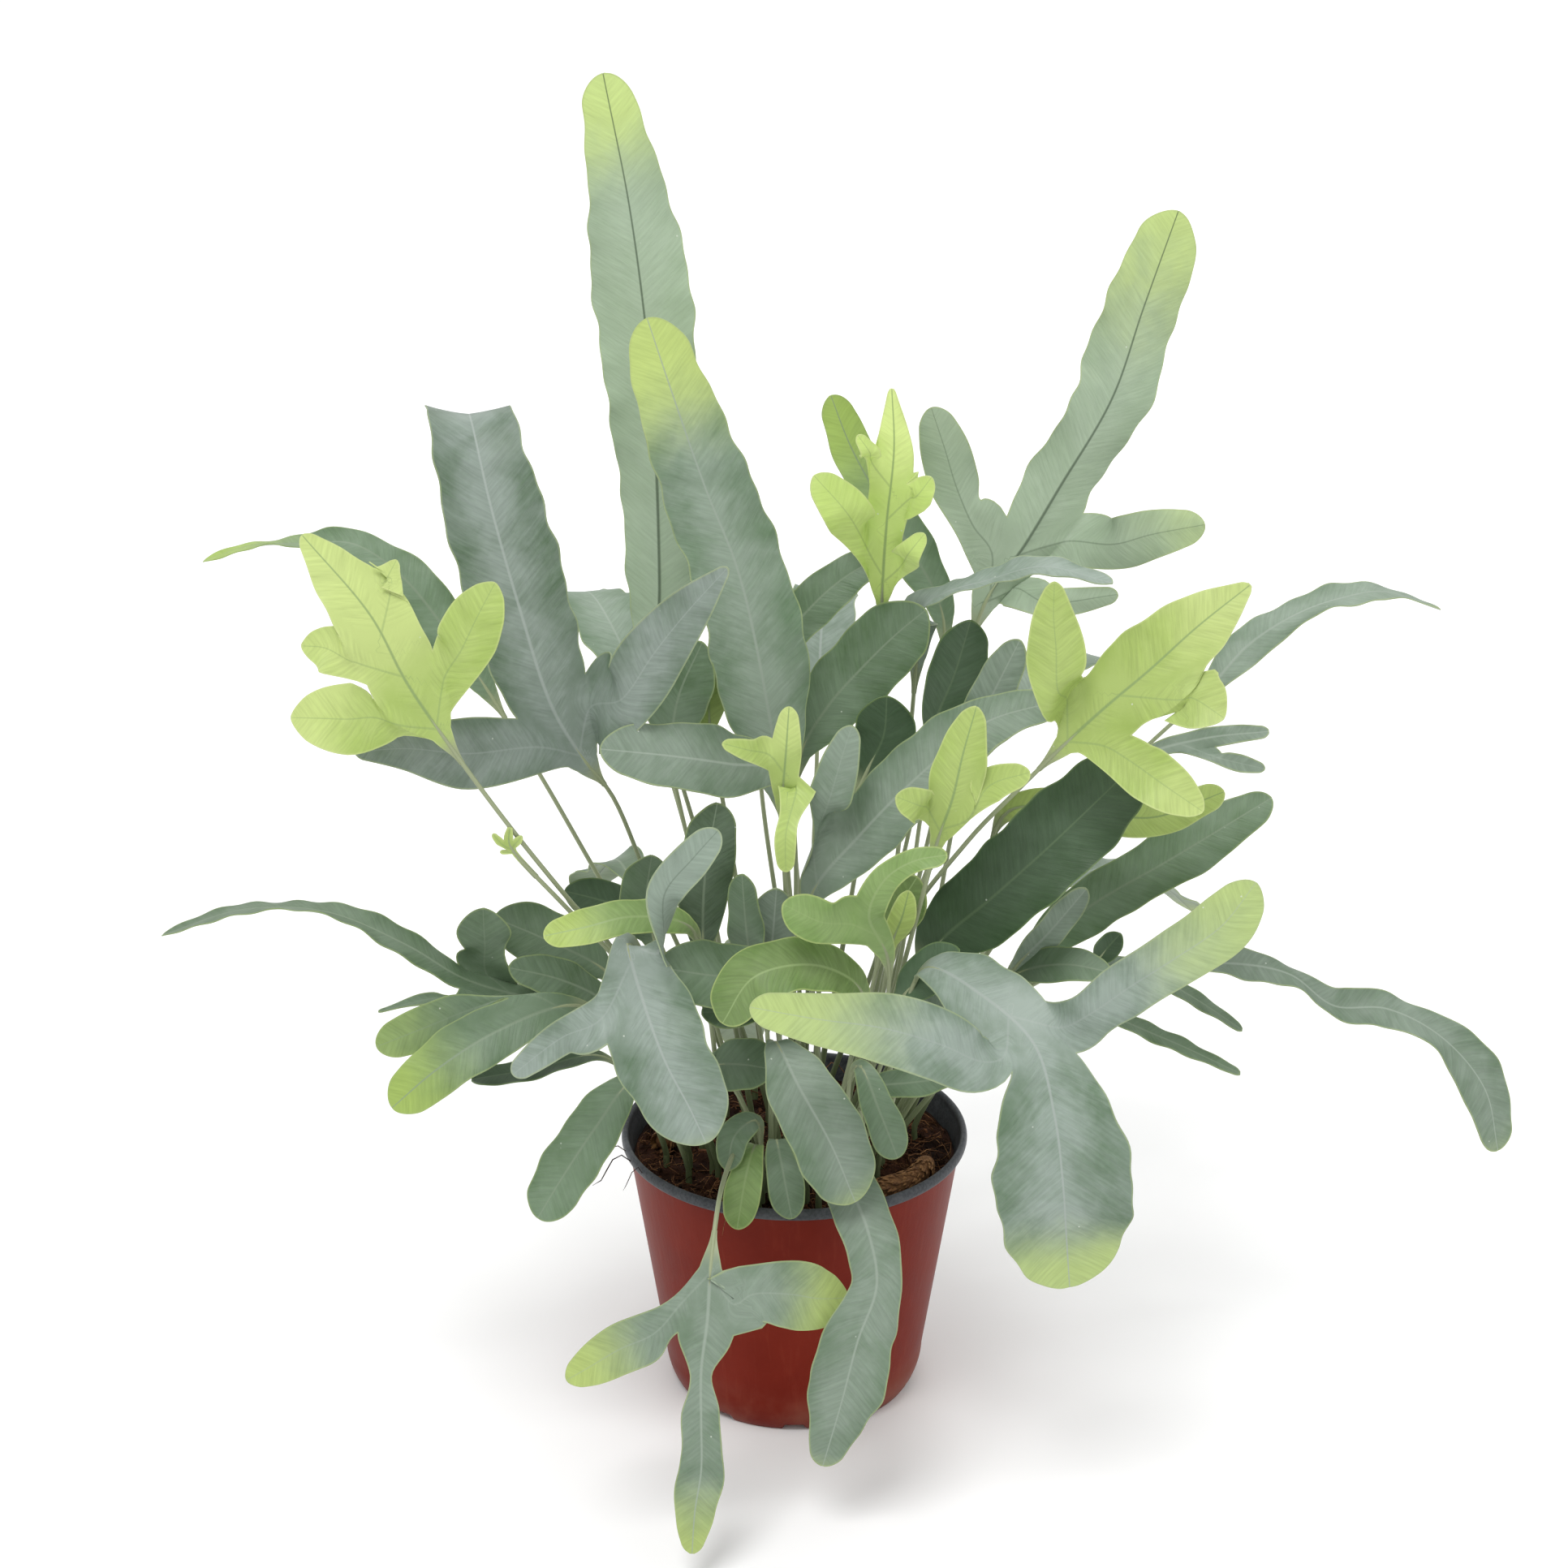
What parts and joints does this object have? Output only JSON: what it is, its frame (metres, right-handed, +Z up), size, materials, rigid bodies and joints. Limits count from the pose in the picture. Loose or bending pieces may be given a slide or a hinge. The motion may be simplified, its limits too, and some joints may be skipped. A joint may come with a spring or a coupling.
{
  "type": "potted fern",
  "caption": "Potted blue-green fern with upright, arching and hanging strap fronds, some lobed, in a round tapered nursery pot that stands on its flat base.",
  "frame": {"origin": "centre of the pot's flat base, on the ground", "axes": "+Z up along the pot's axis, -Y towards the front of the plant, +X to its right"},
  "size_m": [0.4583, 0.3034, 0.4526],
  "materials": {
    "pot_plastic": "matte terracotta-coloured plastic with a grey rolled lip",
    "coir_substrate": "loose dark brown coir, moist",
    "rhizome": "golden-brown scaly stem",
    "frond_glaucous": "blue-green leathery blade with a powdery bloom and a pale midrib",
    "frond_bright": "young yellow-green blade, soft satin"
  },
  "bodies": {
    "root": {"pot": "pot_plastic", "substrate": "coir_substrate", "rhizome_left": "rhizome", "rhizome_right": "rhizome", "frond_tall_back": "frond_glaucous", "frond_tall_centre": "frond_glaucous", "frond_tall_curled": "frond_glaucous", "frond_bright_left": "frond_bright", "frond_ribbon_far_left": "frond_glaucous", "frond_leaf_mid_left": "frond_glaucous", "frond_bright_twist": "frond_bright", "frond_broad_centre_right": "frond_glaucous", "frond_dark_centre": "frond_glaucous", "frond_arching_strap": "frond_glaucous", "frond_tall_right": "frond_glaucous", "frond_bright_top": "frond_bright", "frond_back_upper": "frond_glaucous", "frond_back_band": "frond_glaucous", "frond_bright_right": "frond_bright", "frond_bright_behind_right": "frond_bright", "frond_bright_small": "frond_bright", "frond_dark_right": "frond_glaucous", "frond_grey_right": "frond_glaucous", "frond_rolled_right": "frond_glaucous", "frond_small_far_right": "frond_glaucous", "frond_ribbon_far_right": "frond_glaucous", "frond_wavy_far_right": "frond_glaucous", "frond_lobed_front_right": "frond_glaucous", "frond_grey_front_left": "frond_glaucous", "frond_green_lower_left": "frond_glaucous", "frond_thin_far_left": "frond_glaucous", "frond_leaf_left": "frond_glaucous", "frond_bright_left_small": "frond_bright", "frond_upright_centre": "frond_glaucous", "frond_upright_small": "frond_glaucous", "frond_leaf_centre_front": "frond_glaucous", "frond_bright_curved": "frond_bright", "frond_front_hanging": "frond_glaucous", "frond_front_hanging_small": "frond_glaucous", "frond_rim_leaf_bright": "frond_glaucous", "frond_rim_leaf": "frond_glaucous", "frond_left_hanging": "frond_glaucous", "frond_dark_low_left": "frond_glaucous", "frond_spike_right_low": "frond_glaucous", "frond_spike_right_high": "frond_glaucous", "frond_forked_centre": "frond_glaucous", "frond_dark_behind_centre": "frond_glaucous", "frond_leaf_behind_bright": "frond_glaucous", "frond_hanging_front_left": "frond_glaucous", "frond_hanging_front_right": "frond_glaucous", "frond_low_right": "frond_glaucous", "frond_low_front_right": "frond_glaucous", "frond_low_centre": "frond_glaucous", "frond_dark_mid_left": "frond_glaucous", "frond_rear_left_arch": "frond_glaucous", "frond_rear_centre_lobed": "frond_glaucous", "frond_rear_right_arch": "frond_glaucous", "frond_rear_left_low": "frond_glaucous", "frond_rear_right_low": "frond_glaucous", "frond_rear_hanging": "frond_glaucous"}
  },
  "joints": []
}
